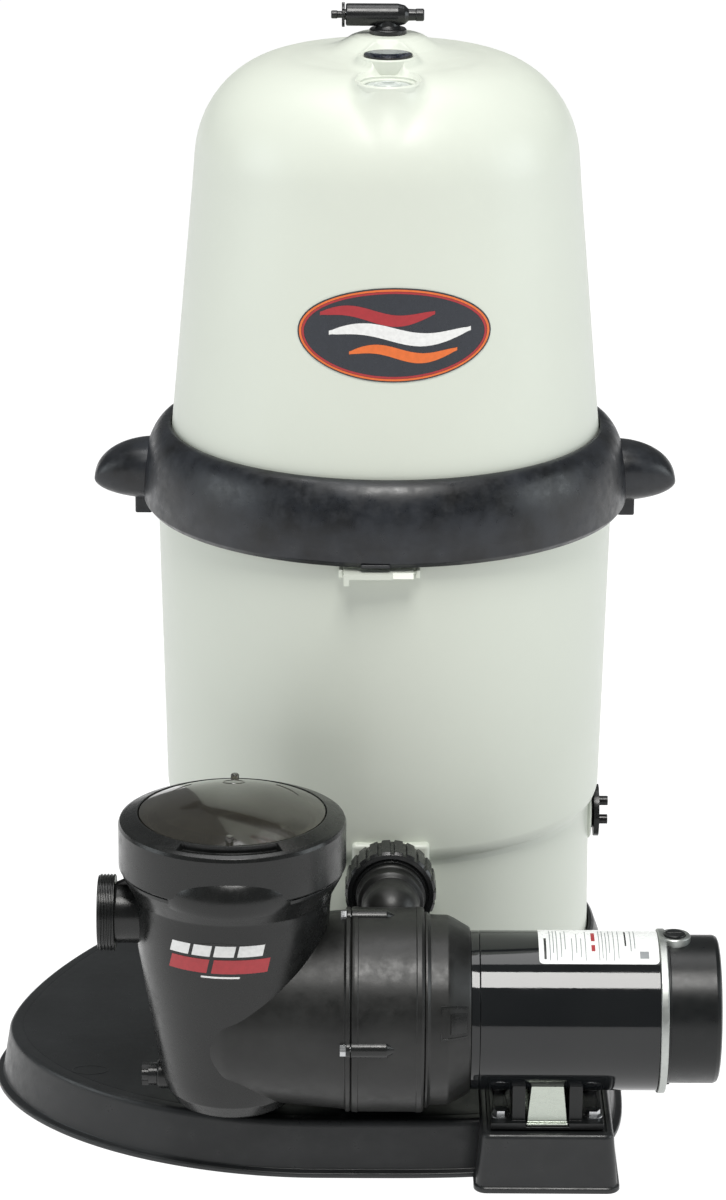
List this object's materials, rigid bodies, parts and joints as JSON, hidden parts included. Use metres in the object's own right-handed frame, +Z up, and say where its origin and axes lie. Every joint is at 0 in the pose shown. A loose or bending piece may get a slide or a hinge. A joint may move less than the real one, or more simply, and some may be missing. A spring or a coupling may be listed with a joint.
{
  "type": "pool cartridge filter and pump system",
  "caption": "Free-standing pool filter: a two-part tank with a pleated cartridge inside and a strainer-pot pump, on one moulded platform.",
  "frame": {"origin": "centre of the whole system's outline at floor level", "axes": "+X along the motor shaft away from the strainer pot, +Y from the pump to the tank, +Z up"},
  "size_m": [0.662, 0.696, 0.9903],
  "materials": {
    "platform_black": "moulded black polymer, satin",
    "tank_white": "off-white glass-filled polymer, satin",
    "ring_black": "black glass-filled polymer, lightly mottled",
    "fitting_black": "black moulded polymer",
    "seal_rubber": "black elastomer",
    "white_inner": "natural moulded polymer",
    "badge": "printed oval, slate field with a red rim",
    "pot_label": "printed oval, dark field with red and white bars",
    "paper_label": "white printed foil",
    "gauge_black": "black polymer case",
    "gauge_face": "dark dial with plain tick marks",
    "needle_white": "white painted needle",
    "clear_lens": "clear lens",
    "smoked_lid": "smoked brown-grey translucent polymer",
    "silver_plug": "satin light metal",
    "pleat_fabric": "white non-woven polyester",
    "cap_blue": "blue moulded urethane",
    "pump_black": "black glass-filled polymer, satin",
    "bolt_steel": "plated steel",
    "basket_grey": "light grey polymer",
    "seal_ceramic": "carbon and ceramic seal faces, stood in for by one solid",
    "shaft_steel": "ground stainless steel",
    "core_steel": "stacked steel sheets",
    "copper": "lacquered copper wire",
    "bell_metal": "cast light metal, bright",
    "shell_black": "gloss black paint on rolled steel",
    "cover_black": "black polymer cap",
    "bracket_bright": "bright plated steel"
  },
  "bodies": {
    "base": {"platform": "platform_black", "tank_screws": "bolt_steel", "tank_body": "tank_white", "tank_oring": "seal_rubber", "inlet_fitting": "fitting_black", "outlet_fitting": "fitting_black", "outlet_manifold": "white_inner", "drain_seal": "seal_rubber", "strainer_housing": "pump_black", "volute_casing": "pump_black", "housing_oring": "seal_rubber", "housing_bolts": "bolt_steel", "pot_label": "pot_label", "lid_oring": "seal_rubber", "union_sleeve": "fitting_black", "diffuser": "pump_black", "seal_plate": "pump_black", "shaft_seal": "seal_ceramic", "motor_bracket": "pump_black", "stator_core": "core_steel", "stator_winding": "copper", "front_bearing": "shaft_steel", "rear_bearing": "shaft_steel", "front_bell": "bell_metal", "motor_shell": "shell_black", "rear_bell": "bell_metal", "through_bolts": "bolt_steel", "end_cover": "cover_black", "conduit_plug": "cover_black", "rating_label": "paper_label", "motor_saddle": "cover_black", "foot_bracket": "bracket_bright", "foot_bolts": "bolt_steel"},
    "head": {"tank_head": "tank_white", "badge": "badge", "relief_body": "fitting_black", "gauge_case": "gauge_black", "gauge_face": "gauge_face", "gauge_lens": "clear_lens", "port_plug": "silver_plug"},
    "relief_screw": {"relief_screw": "fitting_black"},
    "needle": {"gauge_needle": "needle_white"},
    "lock_ring": {"lock_ring": "ring_black"},
    "cartridge": {"cartridge_pleats": "pleat_fabric", "cartridge_core": "white_inner", "cartridge_top_cap": "cap_blue", "cartridge_bottom_cap": "cap_blue"},
    "latch": {"ring_latch": "tank_white"},
    "drain_plug": {"drain_plug": "fitting_black"},
    "lid": {"pot_lid": "smoked_lid"},
    "lid_ring": {"lid_ring": "pump_black"},
    "basket": {"strainer_basket": "basket_grey"},
    "union_nut": {"union_nut": "fitting_black"},
    "pot_drain_plug": {"pot_drain_plug": "fitting_black"},
    "rotor": {"motor_shaft": "shaft_steel", "rotor_core": "core_steel", "impeller": "pump_black", "cooling_fan": "cover_black"}
  },
  "joints": [
    {"name": "head_lift", "type": "slide", "parent": "base", "child": "head", "axis": [0, 0, 1], "range_m": [0, 0.8]},
    {"name": "cartridge_lift", "type": "slide", "parent": "base", "child": "cartridge", "axis": [0, 0, 1], "range_m": [0, 0.4]},
    {"name": "lock_ring_turn", "type": "hinge", "parent": "head", "child": "lock_ring", "pos_m": [0.033, 0.1, 0.56], "axis": [0, 0, 1], "range_deg": [0, 60]},
    {"name": "relief_screw_turn", "type": "hinge", "parent": "head", "child": "relief_screw", "pos_m": [-0.012, 0.1, 0.979], "axis": [-1, 0, 0], "range_deg": [0, 720]},
    {"name": "needle_turn", "type": "hinge", "parent": "head", "child": "needle", "pos_m": [0.033, 0.037, 0.949], "axis": [0, 0, -1], "range_deg": [0, 270]},
    {"name": "latch_press", "type": "hinge", "parent": "base", "child": "latch", "pos_m": [0.027, -0.117, 0.516], "axis": [1, 0, 0], "range_deg": [0, 15], "stiffness_Nm_per_rad": 0.2},
    {"name": "drain_plug_turn", "type": "hinge", "parent": "base", "child": "drain_plug", "pos_m": [0.238, 0.1, 0.208], "axis": [1, 0, 0], "range_deg": [0, 1440]},
    {"name": "lid_lift", "type": "slide", "parent": "base", "child": "lid", "axis": [0, 0, 1], "range_m": [0, 0.4]},
    {"name": "basket_lift", "type": "slide", "parent": "base", "child": "basket", "axis": [0, 0, 1], "range_m": [0, 0.2]},
    {"name": "lid_ring_turn", "type": "hinge", "parent": "lid", "child": "lid_ring", "pos_m": [-0.101, -0.24, 0.305], "axis": [0, 0, 1], "range_deg": [0, 90]},
    {"name": "union_nut_turn", "type": "hinge", "parent": "base", "child": "union_nut", "pos_m": [0.0395, -0.13, 0.218], "axis": [0, -1, 0], "range_deg": [0, 1080]},
    {"name": "pot_drain_turn", "type": "hinge", "parent": "base", "child": "pot_drain_plug", "pos_m": [-0.173, -0.24, 0.082], "axis": [-1, 0, 0], "range_deg": [0, 1440]},
    {"name": "rotor_spin", "type": "hinge", "parent": "base", "child": "rotor", "pos_m": [0.133, -0.24, 0.146], "axis": [1, 0, 0], "continuous": true}
  ],
  "couplings": [
    {"joint": "cartridge_lift", "follows": "head_lift", "ratio": 0.5},
    {"joint": "basket_lift", "follows": "lid_lift", "ratio": 0.5}
  ]
}
